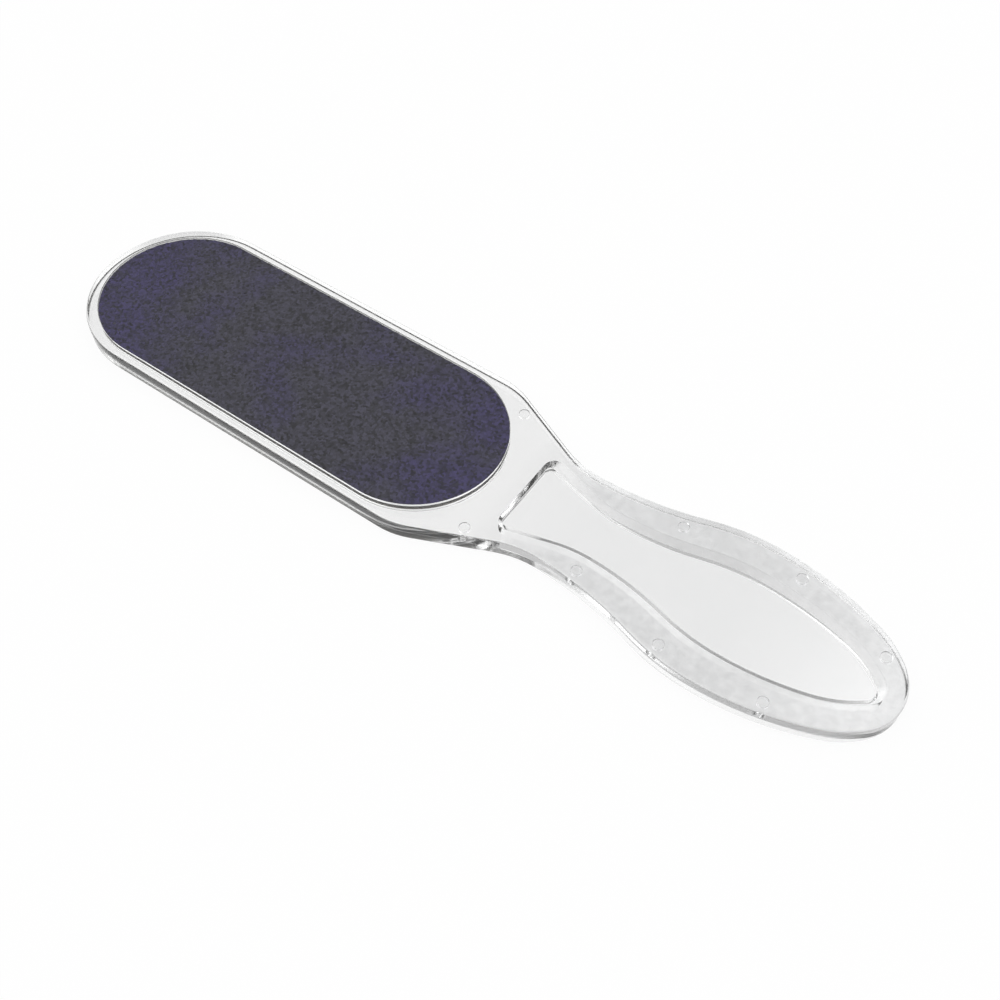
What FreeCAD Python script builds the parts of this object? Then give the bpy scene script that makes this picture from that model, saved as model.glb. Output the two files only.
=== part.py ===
import FreeCAD, Part
import math
import os

# Sizes in millimetres. X runs from the head's tip to the handle's end, Y is across, Z is up.
# Stations are measured from the head's tip, and the part is moved to its middle at the end.

# Whole body
thickness = 5.2
edge_round = 0.55
rim_round = 0.2

# Head, and the neck's bends on the way to the waist
head_half_width = 26.7
shoulder_station = 115.6
shoulder_radius = 20.7
neck_radius = 25.9

# Handle
neck_length = 37.6
waist_half_width = 14.3
swell_length = 44.6
grip_half_width = 21.3
hollow_share = 0.63
taper_radius = 75.6
taper_slope = 23.0
heel_radius = 25.9
heel_slope = 45.0

# Pocket for the abrasive sheet
lip_width = 3.2
pocket_past_shoulder = 15.2
pocket_depth = 1.5

# Recessed panel in the handle: its rim at the start, waist and grip, and the radii of its bends
bridge_length = 9.0
panel_depth = 1.5
panel_slope = 39.5
panel_start_slope = 68.0
panel_corner_radius = 3.0
rim_at_start = 5.5
rim_at_waist = 6.3
rim_at_grip = 8.3
panel_waist_shift = 10.0
panel_neck_radius = 32.0
panel_grip_shift = 1.7
panel_hollow_share = 0.58
panel_taper_radius = 82.9
panel_taper_slope = 15.6
panel_heel_radius = 31.1
panel_heel_slope = 40.0

# Locating pins between the halves: how far in from the side, then way past the shoulder and side of each
pin_radius = 1.3
pin_height = 0.7
pin_clearance = 0.1
pin_from_side = 3.5
pins = [
    (10.4, 1),
    (18.9, -1),
    (47.3, -1),
    (61.3, 1),
    (72.9, -1),
    (91.1, 1),
    (98.6, -1),
    (115.7, 1),
]

# Abrasive sheet
sheet_clearance = 0.1
adhesive_inset = 0.1
adhesive_thickness = 0.15
backing_thickness = 0.8
grit_thickness = 0.3

middle = thickness / 2
waist_station = shoulder_station + neck_length
grip_station = waist_station + swell_length
panel_station = shoulder_station + pocket_past_shoulder + bridge_length
hair = 1e-6


def vector(x, y, z=0.0):
    return FreeCAD.Vector(x, y, z)


def heading(degrees):
    # Unit vector along a heading, in degrees from the X axis
    turn = math.radians(degrees)
    return vector(math.cos(turn), math.sin(turn))


def bend(point, start, end, radius):
    # Arc from one heading to another that starts at a point, and where it ends
    side = 90 if end > start else -90
    centre = point + heading(start + side) * radius
    half_way = centre - heading((start + end) / 2 + side) * radius
    last = centre - heading(end + side) * radius
    return Part.Arc(point, half_way, last).toShape(), last


def neck_edges(start, end, first_radius, last_radius):
    # Down from one level to a lower one: an outward bend, a straight run and an inward bend
    across = end.x - start.x
    apart = (end.y + last_radius) - (start.y - first_radius)
    reach = math.asin((first_radius + last_radius) / math.hypot(across, apart))
    slope = math.degrees(math.atan2(apart, across) - reach)
    outward, high = bend(start, 0, slope, first_radius)
    inward, low = bend(end, 180, 180 + slope, last_radius)
    return [outward, Part.LineSegment(high, low).toShape(), inward]


def swell_edges(start, end, share, inset):
    # Up from one level to a higher one: an inward bend over a share of the way, then an outward bend
    slope = 2 * math.degrees(math.atan2(end.y - start.y, end.x - start.x))
    total = (end.x - start.x) / math.sin(math.radians(slope))
    hollow, point = bend(start, 0, slope, total * share + inset)
    crown, point = bend(point, slope, 0, total * (1 - share) - inset)
    return [hollow, crown]


def end_edges(start, radius, slope, last_radius, last_slope):
    # From the widest place to the end on the axis, in three bends, and the end's station
    taper, point = bend(start, 0, -slope, radius)
    heel, point = bend(point, -slope, -last_slope, last_radius)
    nose_radius = point.y / math.cos(math.radians(last_slope))
    nose, point = bend(point, -last_slope, -90, nose_radius)
    return [taper, heel, nose], point.x


def closed_face(edges, closing):
    # Face between the edges of the +Y side, their mirror images and the edge that closes the outline
    mirrored = [edge.mirror(vector(0, 0), vector(0, 1)) for edge in edges]
    return Part.Face(Part.Wire(Part.__sortEdges__(edges + mirrored + [closing])))


def outline():
    # Outline of the whole file, and its length
    tip = vector(head_half_width, head_half_width)
    shoulder = vector(shoulder_station, head_half_width)
    waist = vector(waist_station, waist_half_width)
    grip = vector(grip_station, grip_half_width)
    last, length = end_edges(grip, taper_radius, taper_slope, heel_radius, heel_slope)
    edges = [Part.LineSegment(tip, shoulder).toShape()]
    edges += neck_edges(shoulder, waist, shoulder_radius, neck_radius)
    edges += swell_edges(waist, grip, hollow_share, 0)
    round_tip = Part.Arc(tip, vector(0, 0), vector(head_half_width, -head_half_width)).toShape()
    return closed_face(edges + last, round_tip), length


def half_width_at(face, station):
    # Distance from the axis to an outline's side at a station
    probe = Part.makeLine(vector(station, 0), vector(station, 2 * head_half_width))
    return face.common(probe).BoundBox.YMax


def panel(inset, start_inset):
    # Panel outline, set in from the rim: square start, sides that follow the handle and a rounded end
    side = half_width_at(body_face, panel_station) - rim_at_start - inset
    corner_radius = panel_corner_radius - inset
    corner = vector(panel_station + start_inset, side - corner_radius)
    waist = vector(waist_station + panel_waist_shift, waist_half_width - rim_at_waist - inset)
    grip = vector(grip_station + panel_grip_shift, grip_half_width - rim_at_grip - inset)
    taper_bend = panel_taper_radius - inset
    heel_bend = panel_heel_radius - inset
    round_corner, top = bend(corner, 90, 0, corner_radius)
    edges = [round_corner] + neck_edges(top, waist, corner_radius, panel_neck_radius + inset)
    edges += swell_edges(waist, grip, panel_hollow_share, inset)
    edges += end_edges(grip, taper_bend, panel_taper_slope, heel_bend, panel_heel_slope)[0]
    square = Part.LineSegment(corner, vector(corner.x, -corner.y)).toShape()
    return closed_face(edges, square)


def panel_recess():
    # Solid to cut away, from the panel's outline at the rim down its sloped walls to a smaller floor
    side_run = panel_depth / math.tan(math.radians(panel_slope))
    start_run = panel_depth / math.tan(math.radians(panel_start_slope))
    rim = panel(0, 0).OuterWire
    floor = panel(side_run, start_run).OuterWire
    rim.translate(vector(0, 0, thickness))
    floor.translate(vector(0, 0, thickness - panel_depth))
    return Part.makeLoft([rim, floor], True, True)


def stadium(inset, height, bottom):
    # Straight-sided solid with round ends, held off the pocket's wall by an inset
    pocket_half = head_half_width - lip_width
    first = head_half_width
    last = shoulder_station + pocket_past_shoulder - pocket_half
    radius = pocket_half - inset
    bar = Part.makeBox(last - first, 2 * radius, height, vector(first, -radius, bottom))
    for station in (first, last):
        bar = bar.fuse(Part.makeCylinder(radius, height, vector(station, 0, bottom)))
    return bar.removeSplitter()


def top_edges(shape):
    return [edge for edge in shape.Edges if edge.BoundBox.ZMin > thickness - hair]


def is_recess_edge(edge):
    # True where a top edge lies further in than the rounding of the outer edge
    where = edge.valueAt((edge.FirstParameter + edge.LastParameter) / 2)
    from_side = body_face.OuterWire.distToShape(Part.Vertex(where.x, where.y, 0))[0]
    return from_side > (edge_round + lip_width) / 2


def half_shell():
    # Upper half of the body: outer edge rounded, pocket and panel cut, and their edges eased
    shell = body_face.extrude(vector(0, 0, thickness - middle))
    shell.translate(vector(0, 0, middle))
    shell = shell.makeFillet(edge_round, top_edges(shell))
    shell = shell.cut(stadium(0, pocket_depth, thickness - pocket_depth))
    shell = shell.cut(panel_recess())
    return shell.makeFillet(rim_round, [edge for edge in top_edges(shell) if is_recess_edge(edge)])


def pin_solids(radius, height):
    # One post for each pin, standing on the middle plane
    solids = []
    for past_shoulder, side in pins:
        station = shoulder_station + past_shoulder
        offset = half_width_at(body_face, station) - pin_from_side
        solids.append(Part.makeCylinder(radius, height, vector(station, side * offset, middle)))
    return solids


def flipped(shape):
    # Mirror image on the other side of the middle plane
    return shape.mirror(vector(0, 0, middle), vector(0, 0, 1))


def front_shell():
    shell = half_shell()
    for socket in pin_solids(pin_radius + pin_clearance, pin_height + pin_clearance):
        shell = shell.cut(socket)
    return shell


def back_shell():
    shell = flipped(half_shell())
    for pin in pin_solids(pin_radius, pin_height):
        shell = shell.fuse(pin)
    return shell.removeSplitter()


def sheet_layers():
    # Adhesive, backing and grit, stacked up from the pocket's floor
    stack = [
        ("adhesive", sheet_clearance + adhesive_inset, adhesive_thickness),
        ("backing", sheet_clearance, backing_thickness),
        ("grit", sheet_clearance, grit_thickness),
    ]
    layers = {}
    level = thickness - pocket_depth
    for name, inset, height in stack:
        layers[name] = stadium(inset, height, level)
        level += height
    return layers


body_face, length = outline()
nodes = {"front_shell": front_shell(), "back_shell": back_shell()}
for name, layer in sheet_layers().items():
    nodes["front_" + name] = layer
    nodes["back_" + name] = flipped(layer)

os.makedirs("parts", exist_ok=True)
for name, shape in nodes.items():
    shape.translate(vector(-length / 2, 0))
    shape.exportStep("parts/" + name + ".step")
    print(name, "solids", len(shape.Solids), "valid", shape.isValid(), "volume", round(shape.Volume, 1))
print("length", round(length, 2), "width", 2 * head_half_width, "thickness", thickness)
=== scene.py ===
# %% [markdown]
# A foot file of clear plastic, dressed for a studio picture.
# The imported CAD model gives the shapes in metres: two welded half shells of clear plastic, and on each
# face of the head a stack of glue, backing and grit. Blender adds what a drawing can't: light that
# bends in the plastic, a rough coat of grains, and the small unevenness of glue and pressed board.

# %% Load the frame
import math

import bpy
import numpy as np
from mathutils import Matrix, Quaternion, Vector
from mathutils.geometry import delaunay_2d_cdt


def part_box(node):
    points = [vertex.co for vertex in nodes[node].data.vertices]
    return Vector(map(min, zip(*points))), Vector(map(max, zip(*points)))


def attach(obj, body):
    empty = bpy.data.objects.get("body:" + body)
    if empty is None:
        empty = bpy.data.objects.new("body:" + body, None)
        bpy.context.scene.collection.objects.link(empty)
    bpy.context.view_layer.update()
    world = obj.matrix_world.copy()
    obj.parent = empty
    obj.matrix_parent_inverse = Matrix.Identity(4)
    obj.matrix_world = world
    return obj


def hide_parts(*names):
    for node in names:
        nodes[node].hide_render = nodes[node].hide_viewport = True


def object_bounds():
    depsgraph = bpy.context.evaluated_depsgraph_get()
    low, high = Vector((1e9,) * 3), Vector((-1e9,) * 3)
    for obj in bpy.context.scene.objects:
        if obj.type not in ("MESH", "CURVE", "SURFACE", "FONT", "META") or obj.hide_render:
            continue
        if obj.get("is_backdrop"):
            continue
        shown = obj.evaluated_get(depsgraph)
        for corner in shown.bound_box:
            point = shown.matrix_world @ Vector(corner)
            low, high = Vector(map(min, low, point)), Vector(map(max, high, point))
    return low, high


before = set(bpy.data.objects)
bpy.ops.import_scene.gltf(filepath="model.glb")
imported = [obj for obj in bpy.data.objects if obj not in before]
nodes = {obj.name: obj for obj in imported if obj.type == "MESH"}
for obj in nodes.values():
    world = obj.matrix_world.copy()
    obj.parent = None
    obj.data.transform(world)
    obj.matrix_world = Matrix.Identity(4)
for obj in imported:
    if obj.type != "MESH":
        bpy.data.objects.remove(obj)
cad_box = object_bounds()
MM = 0.001
for name in nodes:
    low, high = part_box(name)
    size = [round((b - a) / MM, 2) for a, b in zip(low, high)]
    print(name, "is", size, "mm")

# %% [markdown]
# The camera. The photograph looks down at the file from the handle's near side, about 54 degrees above
# the table, from close by, so that the far tip of the head looks smaller than the handle.
# A turn and a height angle say this more plainly than three coordinates, so the camera's place is worked
# out from them. It looks at a point a little off the file's middle and leans by a third of a degree, as the
# picture was framed by hand.

# %% Camera
CAMERA_TURN = math.radians(35.2)
CAMERA_HEIGHT = math.radians(54.0)
CAMERA_ROLL = math.radians(0.37)
CAMERA_DISTANCE = 290.2 * MM
CAMERA_AIM = Vector((17.1, -5.48, 4.5)) * MM
PHOTO_LENS = 43.2
SENSOR = 36.0

toward_camera = Vector((
    math.sin(CAMERA_TURN) * math.cos(CAMERA_HEIGHT),
    -math.cos(CAMERA_TURN) * math.cos(CAMERA_HEIGHT),
    math.sin(CAMERA_HEIGHT),
))
camera_data = bpy.data.cameras.new("studio_camera")
camera_data.lens = PHOTO_LENS
camera_data.sensor_width = SENSOR
camera = bpy.data.objects.new("studio_camera", camera_data)
bpy.context.collection.objects.link(camera)
camera.location = CAMERA_AIM + toward_camera * CAMERA_DISTANCE
level_view = (-toward_camera).to_track_quat("-Z", "Y")
camera.rotation_euler = (level_view @ Quaternion((0, 0, 1), CAMERA_ROLL)).to_euler()
bpy.context.scene.camera = camera
print("camera at", [round(c / MM) for c in camera.location], "mm")

# %% [markdown]
# The clear half shells. Each is a moulding, polished on every side, and they meet at the middle of the
# file's thickness. Where two such mouldings touch there is still a film of air between them, and light
# mirrors in it at low angles. Two solids that share one face would confuse the renderer, so each shell
# is shown by a copy of its CAD mesh whose meeting face is drawn back by the thickness of that film.
# Copying keeps the smooth normals of the CAD model's fillets, which a rebuilt mesh would lose.

# %% Clear half shells
AIR_FILM = 0.02 * MM
NEARLY = 0.01 * MM


def corners_of(mesh):
    # The corner points of a mesh as rows of x, y and z
    flat = np.empty(3 * len(mesh.vertices), np.float32)
    mesh.vertices.foreach_get("co", flat)
    return flat.reshape(-1, 3)


def stand_in(node_name, piece_name, mesh):
    # Show a mesh in place of a CAD node
    piece = bpy.data.objects.new(piece_name, mesh)
    bpy.context.collection.objects.link(piece)
    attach(piece, "root")
    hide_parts(node_name)
    return piece


def shifted_copy(node_name, level, shift):
    # A copy of a CAD node's mesh, with the corners at one level moved up or down
    mesh = nodes[node_name].data.copy()
    mesh.materials.clear()
    points = corners_of(mesh)
    moved = np.abs(points[:, 2] - level) < NEARLY
    points[moved, 2] += shift
    mesh.vertices.foreach_set("co", points.ravel())
    mesh.update()
    print(node_name, "copy:", int(moved.sum()), "corners moved by", round(shift / MM, 3), "mm")
    return mesh


middle_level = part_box("front_shell")[0][2]
front_clear = stand_in(
    "front_shell", "front_clear_shell", shifted_copy("front_shell", middle_level, AIR_FILM)
)
back_clear = stand_in(
    "back_shell", "back_clear_shell", shifted_copy("back_shell", middle_level, -AIR_FILM)
)

# %% [markdown]
# Every finish below is a small graph of nodes round Blender's Principled shader. Written out link by link,
# such a graph hides what it does, so a few helpers come first. One makes a material, one adds a node and
# links it, and the others give what comes up again and again: a noise, a value stretched over a range, a
# sum or product of two values, and a blend of two colours.

# %% Helpers for node materials
NOISE_MIDDLE = (0.3, 0.7)


def new_material(name):
    # A node material, its Principled shader and its node tree
    material = bpy.data.materials.new(name)
    material.use_nodes = True
    tree = material.node_tree
    return material, tree.nodes["Principled BSDF"], tree


def add(tree, kind, links=None, **settings):
    # Add a node, set its plain settings, and set or link its inputs
    node = tree.nodes.new("ShaderNode" + kind)
    for key, value in settings.items():
        setattr(node, key, value)
    for key, source in (links or {}).items():
        if isinstance(source, (int, float, tuple)):
            node.inputs[key].default_value = source
        else:
            tree.links.new(source, node.inputs[key])
    return node


def place_on(tree):
    # The place of a point in the object's own frame, in metres
    return add(tree, "TexCoord").outputs["Object"]


def noise(tree, per_mm, detail=2.0):
    # Cloudy noise fixed to the object, with so many clouds in a millimetre
    links = {"Vector": place_on(tree), "Scale": per_mm / MM, "Detail": detail}
    return add(tree, "TexNoise", links).outputs["Fac"]


def between(tree, value, low, high, start=NOISE_MIDDLE[0], end=NOISE_MIDDLE[1]):
    # Stretch a value over a range, from the usual span of a noise if no other is given
    links = {"Value": value, "From Min": start, "From Max": end, "To Min": low, "To Max": high}
    return add(tree, "MapRange", links).outputs["Result"]


def reckon(tree, operation, *values):
    # One sum on one or two values
    return add(tree, "Math", dict(enumerate(values)), operation=operation).outputs[0]


def blend(tree, value, low_colour, high_colour):
    # A colour between two, by a value from 0 to 1; each is a fixed colour or another node's
    links = {"Factor": value}
    for key, colour in (("A", low_colour), ("B", high_colour)):
        links[key] = (*colour, 1.0) if isinstance(colour, tuple) else colour
    return add(tree, "Mix", links, data_type="RGBA").outputs["Result"]


print("helpers ready")

# %% [markdown]
# Clear moulded plastic bends light more than glass does, and it takes a little off it on the way through.
# A Principled shader with full transmission does both. The surface is polished, but a bathroom tool gets
# fine scuffs, so the roughness wanders between two low values. The handle is greyer than the head: that
# grey is painted shade, for the shade on the floor under the handle seen through it. Its raised rims are
# greyer still and mottled, which is painted shadow of the floor under the rims: the way along the handle
# and the height above the middle plane tell the shader where. The head's steep sides are a smoky grey,
# which is painted shade for the dark
# lines along them: where the surface stands steeply, which its normal tells, the shader greys it.

# %% Where the plastic gets painted shade
PLASTIC_BENDING = 1.57
# How deep under the outer face the rims' painted shadow reaches.
RIM_SHADOW_DEPTH = 0.3 * MM
HELD_FROM = (15.0 * MM, 35.0 * MM)
HEAD_ENDS = (6.0 * MM, 18.0 * MM)
SIDE_FLATNESS = (0.55, 0.95)
half_thickness = cad_box[1][2] - middle_level

clear_plastic, shader, tree = new_material("clear_plastic")
shader.inputs["IOR"].default_value = PLASTIC_BENDING
shader.inputs["Transmission Weight"].default_value = 1.0
place = add(tree, "SeparateXYZ", {0: place_on(tree)}).outputs
outward = reckon(tree, "ABSOLUTE", reckon(tree, "SUBTRACT", place["Z"], middle_level))
# raised says where the rims' painted shadow goes.
raised = between(tree, outward, 0.0, 1.0, half_thickness - RIM_SHADOW_DEPTH, half_thickness)
# held says where the handle's painted shade goes.
held = between(tree, place["X"], 0.0, 1.0, *HELD_FROM)
# Painted shade on the head's steep faces: steep, on_head and side say where it goes.
normal = add(tree, "SeparateXYZ", {0: add(tree, "NewGeometry").outputs["Normal"]}).outputs
steep = between(tree, reckon(tree, "ABSOLUTE", normal["Z"]), 1.0, 0.0, *SIDE_FLATNESS)
on_head = between(tree, place["X"], 1.0, 0.0, *HEAD_ENDS)
side = reckon(tree, "MULTIPLY", steep, on_head)
# The head's steep sides, up to this x, get painted shade.
print("the head's sides are worn up to x =", round(HEAD_ENDS[1] / MM), "mm")
# From this x on, the handle gets painted shade, and its rims painted shadow.
print("the handle is worn from x =", round(HELD_FROM[0] / MM), "mm on")

# %% Clear plastic
FACE_TINTS = ((0.975, 0.977, 0.975), (0.985, 0.985, 0.985))
# Smoky grey of the head's steep sides: painted shade.
SIDE_SHADE_TINTS = ((0.54, 0.54, 0.535), (0.6, 0.6, 0.595))
# Grey of the handle: painted shade of the floor under it, seen through it.
HANDLE_SHADE_TINTS = ((0.953, 0.955, 0.955), (0.968, 0.969, 0.969))
# Darker raised rims: painted shadow of the floor under them.
RIM_SHADOW_TINTS = ((0.77, 0.772, 0.775), (0.88, 0.882, 0.885))
SCUFF_SPAN = (0.35, 0.65)
POLISH = (0.04, 0.085)

faces = blend(tree, noise(tree, per_mm=0.05), *FACE_TINTS)
# sides is the painted shade on the head's steep faces.
sides = blend(tree, noise(tree, per_mm=0.2, detail=4.0), *SIDE_SHADE_TINTS)
# The handle's painted shade, a little cloudy.
handle_shade = blend(tree, noise(tree, per_mm=0.1, detail=4.0), *HANDLE_SHADE_TINTS)
scuffs = between(tree, noise(tree, per_mm=0.45, detail=6.0), 0.0, 1.0, *SCUFF_SPAN)
# The rims' painted shadow, mottled by the scuff noise.
shaded = blend(tree, scuffs, *RIM_SHADOW_TINTS)
head_tint = blend(tree, side, faces, sides)
# handle_tint: painted shade on the handle, painted shadow on its rims.
handle_tint = blend(tree, raised, handle_shade, shaded)
tree.links.new(blend(tree, held, head_tint, handle_tint), shader.inputs["Base Color"])
tree.links.new(between(tree, noise(tree, per_mm=0.4, detail=6.0), *POLISH), shader.inputs["Roughness"])
for shell in (front_clear, back_clear):
    shell.data.materials.append(clear_plastic)
    print(shell.name, "has", len(shell.data.polygons), "faces of clear plastic")

# %% [markdown]
# The glue under each sheet. On the real file it is a thin film, pressed so hard against the plastic that
# no air is left between them. That matters here: through the clear edge of the head one looks at the
# glue's underside, and with a gap of air it would look like a mirror. So each film is a copy of the CAD
# film whose face on the plastic reaches a hair into it. The glue is patchy, as it dries in streaks. The
# front film is dark grey: painted shade, for the shade between the two sheets seen through the clear edge.

# %% Glue films
GLUE_BITE = 0.03 * MM
GLUE_ROUGHNESS = (0.5, 0.7)
# The front film's dark grey: painted shade between the two sheets.
SHADE_DARK_GLUE = ((0.15, 0.148, 0.143), (0.19, 0.188, 0.181))
MILKY_GLUE = ((0.78, 0.77, 0.74), (0.84, 0.83, 0.8))


def glue_material(name, thin_colour, thick_colour):
    material, shader, tree = new_material(name)
    patches = between(tree, noise(tree, per_mm=0.25, detail=4.0), 0.0, 1.0)
    tree.links.new(blend(tree, patches, thin_colour, thick_colour), shader.inputs["Base Color"])
    tree.links.new(between(tree, noise(tree, per_mm=1.5), *GLUE_ROUGHNESS), shader.inputs["Roughness"])
    return material


front_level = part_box("front_adhesive")[0][2]
back_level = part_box("back_adhesive")[1][2]
front_film = shifted_copy("front_adhesive", front_level, -GLUE_BITE)
back_film = shifted_copy("back_adhesive", back_level, GLUE_BITE)
stand_in("front_adhesive", "front_glue_film", front_film)
stand_in("back_adhesive", "back_glue_film", back_film)
# The front film gets the dark grey of painted shade.
front_film.materials.append(glue_material("dark_glue", *SHADE_DARK_GLUE))
back_film.materials.append(glue_material("milky_glue", *MILKY_GLUE))

# %% [markdown]
# The backings. Each sheet is grit on a backing that is cut to the head's shape. The CAD solids have the
# right shape already, so they stay and only get a finish: short fibres, which are a noise stretched along
# the sheet, and a bump from the same noise, so that the cut edge looks like pressed board.

# %% Backings
FIBRE_STRETCH = (0.6, 5.0, 5.0)
FIBRE_DETAIL = 5.0
FIBRE_BUMP = 0.02 * MM
BOARD_ROUGHNESS = 0.8
DARK_BOARD = ((0.07, 0.068, 0.075), (0.12, 0.117, 0.125))
PALE_BOARD = ((0.74, 0.73, 0.69), (0.84, 0.83, 0.8))


def backing_material(name, dark_colour, light_colour):
    material, shader, tree = new_material(name)
    stretch = tuple(times / MM for times in FIBRE_STRETCH)
    along = add(tree, "Mapping", {"Vector": place_on(tree), "Scale": stretch}).outputs[0]
    fibres = add(tree, "TexNoise", {"Vector": along, "Scale": 1.0, "Detail": FIBRE_DETAIL}).outputs["Fac"]
    colour = blend(tree, between(tree, fibres, 0.0, 1.0), dark_colour, light_colour)
    tree.links.new(colour, shader.inputs["Base Color"])
    shader.inputs["Roughness"].default_value = BOARD_ROUGHNESS
    bump = add(tree, "Bump", {"Height": fibres, "Distance": FIBRE_BUMP})
    tree.links.new(bump.outputs[0], shader.inputs["Normal"])
    return material


backings = {
    "front_backing": backing_material("dark_backing", *DARK_BOARD),
    "back_backing": backing_material("pale_backing", *PALE_BOARD),
}
for name, material in backings.items():
    nodes[name].data.materials.clear()
    nodes[name].data.materials.append(material)
    print(name, "is", material.name)

# %% [markdown]
# The grit. A sheet's working face is a bed of resin with hard grains standing in it, coarse on the front
# and finer on the back. A bump map would lie flat in a side view, so the grains are real: points are
# strewn over the sheet about a grain apart, joined into a net of triangles, and every point is lifted by
# its own amount, from the resin bed up to the tip of a grain. A jittered lattice strews them: plain random
# points would leave bald patches. The same seed gives the same sheet each time.

# %% Strewn points on a sheet with round ends
COARSE_GRAIN = 0.6 * MM
FINE_GRAIN = 0.4 * MM
JITTER = 0.38


def inside_sheet(points, ends, radius):
    # True for points nearer than a radius to the sheet's middle line
    across = points[:, 0] - np.clip(points[:, 0], *ends)
    return np.hypot(across, points[:, 1]) < radius


def strewn_points(ends, radius, grain, random):
    # A staggered lattice, each point moved a little at random, kept clear of the sheet's edge
    xs = np.arange(ends[0] - radius, ends[1] + radius, grain)
    ys = np.arange(-radius, radius, grain * math.sqrt(3) / 2)
    grid = np.array([(x + grain / 2 * (row % 2), y) for row, y in enumerate(ys) for x in xs])
    grid += random.uniform(-JITTER, JITTER, grid.shape) * grain
    return grid[inside_sheet(grid, ends, radius - grain / 2)]


def edge_points(ends, radius, grain):
    # Points round the sheet's edge, a grain apart: an end, a side, the other end, the other side
    turns = np.linspace(-math.pi / 2, math.pi / 2, round(math.pi * radius / grain), endpoint=False)
    steps = np.linspace(ends[1], ends[0], round((ends[1] - ends[0]) / grain), endpoint=False)
    right_end = np.stack([ends[1] + radius * np.cos(turns), radius * np.sin(turns)], 1)
    top_side = np.stack([steps, np.full(len(steps), radius)], 1)
    half = np.concatenate([right_end, top_side])
    middle = (ends[0] + ends[1]) / 2
    turned = np.stack([2 * middle - half[:, 0], -half[:, 1]], 1)
    return np.concatenate([half, turned])


print("grains are", COARSE_GRAIN / MM, "mm apart on the front and", FINE_GRAIN / MM, "mm on the back")

# %% [markdown]
# Each grain's height is a random draw, and most stay low: a few tall tips among many lower ones is what
# makes an abrasive bite. The edge gets the same treatment, then walls go down from it to the backing and a
# plate closes the underside, so that the coat is a closed body as thick as in the CAD model.

# %% Grit coats
RESIN_BED = 0.3
MOSTLY_LOW = 1.5
GRAIN_SEED = 7
MERGE_BELOW = 1e-5
KEEP_INSIDE = 1


def grit_mesh(node_name, grain, facing):
    # A coat of grains that fills the CAD coat's box; facing is 1 for the front and -1 for the back
    random = np.random.default_rng(GRAIN_SEED)
    low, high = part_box(node_name)
    radius = (high[1] - low[1]) / 2
    ends = (low[0] + radius, high[0] - radius)
    base, top = (low[2], high[2]) if facing > 0 else (high[2], low[2])
    rim = edge_points(ends, radius, grain)
    plan = np.concatenate([rim, strewn_points(ends, radius, grain, random)])
    ring = len(rim)
    edges = [(i, (i + 1) % ring) for i in range(ring)]
    net = delaunay_2d_cdt([Vector(p / MM) for p in plan], edges, [], KEEP_INSIDE, MERGE_BELOW)
    plan = np.array([tuple(p) for p in net[0]]) * MM
    share = RESIN_BED + (1 - RESIN_BED) * random.random(len(plan)) ** MOSTLY_LOW
    heights = base + (top - base) * share
    points = [(x, y, z) for (x, y), z in zip(plan, heights)]
    points += [(x, y, base) for x, y in plan[:ring]]
    faces = [tuple(face) if facing > 0 else tuple(reversed(face)) for face in net[2]]
    first = len(plan)
    for i in range(ring):
        after = (i + 1) % ring
        wall = (i, first + i, first + after, after)
        faces.append(wall if facing > 0 else tuple(reversed(wall)))
    under = tuple(range(first, first + ring))
    faces.append(tuple(reversed(under)) if facing > 0 else under)
    mesh = bpy.data.meshes.new(node_name + "_grains")
    mesh.from_pydata(points, [], faces)
    mesh.update()
    print(node_name, "coat:", len(points), "points,", len(faces), "faces, grain", grain / MM, "mm")
    return mesh


coarse_coat = grit_mesh("front_grit", COARSE_GRAIN, 1)
fine_coat = grit_mesh("back_grit", FINE_GRAIN, -1)
stand_in("front_grit", "front_coarse_grains", coarse_coat)
stand_in("back_grit", "back_fine_grains", fine_coat)

# %% [markdown]
# The grains are a dark, slightly purple mineral in grey resin. Seen from near, small clusters of grains
# have their own shade, so a cell pattern a little coarser than the grains gives each its colour. Seen from
# far, the coat is cloudy: bluish where there is more mineral and greyer where there is more resin. A slow
# noise mixes the two, with more mineral towards the sheet's round ends than in its middle.

# %% Grit finish
BLUISH = (0.69, 0.6, 1.43)
GREYISH = (0.74, 0.715, 0.99)
COARSE_SHADES = (0.012, 0.092)
FINE_SHADES = (0.02, 0.105)
GRAIN_ROUGHNESS = (0.45, 0.85)
CLUSTER = 1.15
MINERAL_SPAN = (0.4, 0.62)
END_PULL = 0.12
END_REACH = (20.0 * MM, 60.0 * MM)
sheet_low, sheet_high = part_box("front_grit")
sheet_middle = (sheet_low[0] + sheet_high[0]) / 2


def grit_material(name, grain, dark, light):
    material, shader, tree = new_material(name)
    place = place_on(tree)
    cells = add(tree, "TexVoronoi", {"Vector": place, "Scale": 1.0 / (CLUSTER * grain)})
    shade = add(tree, "SeparateColor", {"Color": cells.outputs["Color"]}).outputs[0]
    grains = blend(tree, shade, (dark, dark, dark), (light, light, light))
    along = add(tree, "SeparateXYZ", {0: place}).outputs["X"]
    way_out = reckon(tree, "ABSOLUTE", reckon(tree, "SUBTRACT", along, sheet_middle))
    pull = between(tree, way_out, -END_PULL, END_PULL, *END_REACH)
    mineral = reckon(tree, "ADD", noise(tree, per_mm=0.045, detail=5.0), pull)
    tone = blend(tree, between(tree, mineral, 0.0, 1.0, *MINERAL_SPAN), GREYISH, BLUISH)
    links = {"Factor": 1.0, "A": grains, "B": tone}
    toned = add(tree, "Mix", links, data_type="RGBA", blend_type="MULTIPLY")
    tree.links.new(toned.outputs["Result"], shader.inputs["Base Color"])
    tree.links.new(between(tree, shade, *GRAIN_ROUGHNESS, 0.0, 1.0), shader.inputs["Roughness"])
    return material


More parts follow.
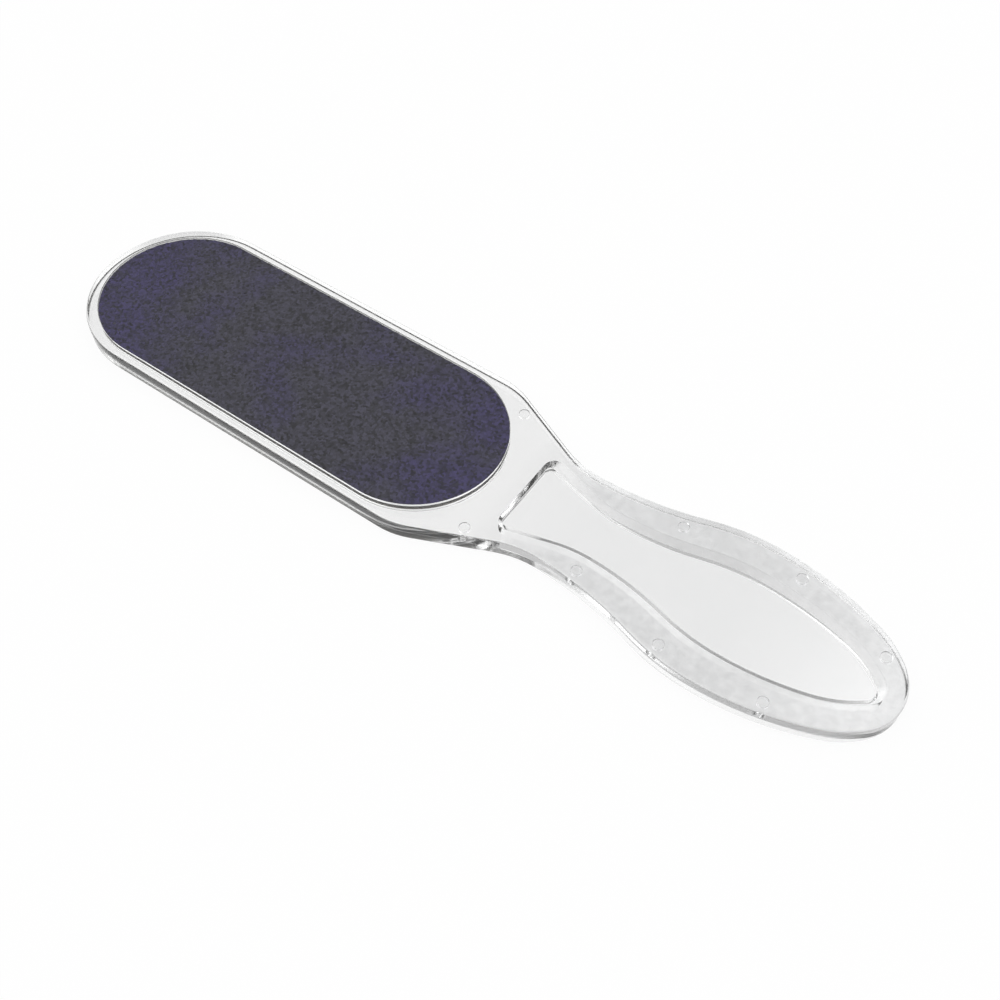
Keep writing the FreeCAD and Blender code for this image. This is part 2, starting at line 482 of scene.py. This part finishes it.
coarse_coat.materials.append(grit_material("coarse_grit", COARSE_GRAIN, *COARSE_SHADES))
fine_coat.materials.append(grit_material("fine_grit", FINE_GRAIN, *FINE_SHADES))
clusters = [round(CLUSTER * grain / MM, 2) for grain in (COARSE_GRAIN, FINE_GRAIN)]
print("grit clusters are", clusters, "mm across")

# %% [markdown]
# The floor. The photograph has a white ground with no shadow to speak of. The floor is a wide pale plane
# with a matt finish, and to the camera, and to rays that come through the plastic or mirror in it, it is
# mostly plain white. The rest of it is lit like any surface, so it keeps a faint shadow under the file.

# %% Floor
FLOOR_REACH = 3.0
FLOOR_GAP = 0.2 * MM
SHOWN_WHITE = 0.95
FLOOR_TINTS = ((0.89, 0.89, 0.89), (0.91, 0.91, 0.91))
FLOOR_ROUGHNESS = 0.9

floor_mesh = bpy.data.meshes.new("floor")
level = cad_box[0][2] - FLOOR_GAP
square = [(x * FLOOR_REACH, y * FLOOR_REACH, level) for x, y in ((-1, -1), (1, -1), (1, 1), (-1, 1))]
floor_mesh.from_pydata(square, [], [(0, 1, 2, 3)])
floor = bpy.data.objects.new("floor", floor_mesh)
bpy.context.collection.objects.link(floor)
floor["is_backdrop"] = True

pale_floor, shader, tree = new_material("pale_floor")
speckle = blend(tree, noise(tree, per_mm=0.2, detail=3.0), *FLOOR_TINTS)
tree.links.new(speckle, shader.inputs["Base Color"])
shader.inputs["Roughness"].default_value = FLOOR_ROUGHNESS
rays = add(tree, "LightPath").outputs
seen = reckon(tree, "MAXIMUM", rays["Is Camera Ray"], rays["Is Glossy Ray"])
shown = reckon(tree, "MAXIMUM", seen, rays["Is Transmission Ray"])
white_share = reckon(tree, "MULTIPLY", shown, SHOWN_WHITE)
white = add(tree, "Emission").outputs[0]
mixed = add(tree, "MixShader", {0: white_share, 1: shader.outputs[0], 2: white}).outputs[0]
tree.links.new(mixed, tree.nodes["Material Output"].inputs["Surface"])
floor_mesh.materials.append(pale_floor)
print("floor at", round(level / MM, 2), "mm")

# %% [markdown]
# The light. Clear plastic shows its edges only by what they mirror and bend, so the room matters more
# than the lamps. Two large soft lamps stand left and right of the camera, the far side of the room is half
# lit, and the ceiling and the near side, behind the camera, are dim: that gives dark lines along the near
# edges and soft ones along the far edges. The whole room is one smooth world shader. Lamps as objects
# would show in the flat faces with hard outlines.

# %% Lamps and walls
RIGHT_SIDE = Vector((math.cos(CAMERA_TURN), math.sin(CAMERA_TURN), 0.0))
FAR_SIDE = Vector((-math.sin(CAMERA_TURN), math.cos(CAMERA_TURN), 0.0))
UPWARD = Vector((0.0, 0.0, 1.0))
LAMP_HEIGHT = math.radians(55)
LAMP_EDGE = 0.80
LAMP_CORE = 0.96
LAMP = 2.0
DIM_ROOM = 0.12
FAR_WALL = 0.4
FAR_FADE = (-0.1, 0.6)

room = bpy.data.worlds.new("studio_room")
bpy.context.scene.world = room
room.use_nodes = True
tree = room.node_tree
direction = add(tree, "TexCoord").outputs["Generated"]


def glow(toward, start, end, strength):
    # Light that grows smoothly as a ray turns towards a direction
    facing = add(tree, "VectorMath", {0: direction, 1: tuple(toward)}, operation="DOT_PRODUCT")
    links = {"Value": facing.outputs["Value"], "From Min": start, "From Max": end}
    links.update({"To Min": 0.0, "To Max": strength})
    return add(tree, "MapRange", links, interpolation_type="SMOOTHSTEP").outputs["Result"]


light = reckon(tree, "ADD", glow(FAR_SIDE, *FAR_FADE, FAR_WALL), DIM_ROOM)
for hand in (1, -1):
    toward_lamp = RIGHT_SIDE * hand * math.cos(LAMP_HEIGHT) + UPWARD * math.sin(LAMP_HEIGHT)
    light = reckon(tree, "ADD", light, glow(toward_lamp, LAMP_EDGE, LAMP_CORE, LAMP))
print("room light from", DIM_ROOM, "behind the camera to", LAMP, "in the lamps")

# %% [markdown]
# The white sweep. In a studio the white floor curves up behind the object, so a low view sees no edge
# where it ends. A flat floor has such an edge, so the room itself is plain white to the camera, and near
# the horizon it is white to mirrored and bent rays as well. The light on the file stays the same.

# %% White sweep
SWEEP_FADE = (-0.25, -0.1)

rays = add(tree, "LightPath").outputs
bent = reckon(tree, "MAXIMUM", rays["Is Glossy Ray"], rays["Is Transmission Ray"])
bent_low = reckon(tree, "MULTIPLY", bent, glow(-UPWARD, *SWEEP_FADE, 1.0))
sweep = reckon(tree, "MAXIMUM", rays["Is Camera Ray"], bent_low)
shown = add(tree, "Mix", {"Factor": sweep, "A": light, "B": 1.0}, data_type="FLOAT").outputs["Result"]
tree.links.new(shown, tree.nodes["Background"].inputs["Color"])
print("the sweep is white up to", round(math.degrees(math.asin(-SWEEP_FADE[1]))), "degrees")

# %% [markdown]
# Light goes to and fro many times inside a clear handle before it leaves. With Blender's usual few
# bounces those paths end early and show as black bands, so more are allowed.

# %% Finish
INNER_BOUNCES = 24
SPARE_BOUNCES = 8
bpy.context.scene.cycles.max_bounces = INNER_BOUNCES + SPARE_BOUNCES
bpy.context.scene.cycles.glossy_bounces = INNER_BOUNCES
bpy.context.scene.cycles.transmission_bounces = INNER_BOUNCES
bpy.context.scene.view_settings.view_transform = "Standard"
boxes = {"cad": cad_box, "visual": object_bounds()}
boxes = {key: [list(map(float, corner)) for corner in box] for key, box in boxes.items()}
print("sizes", boxes)
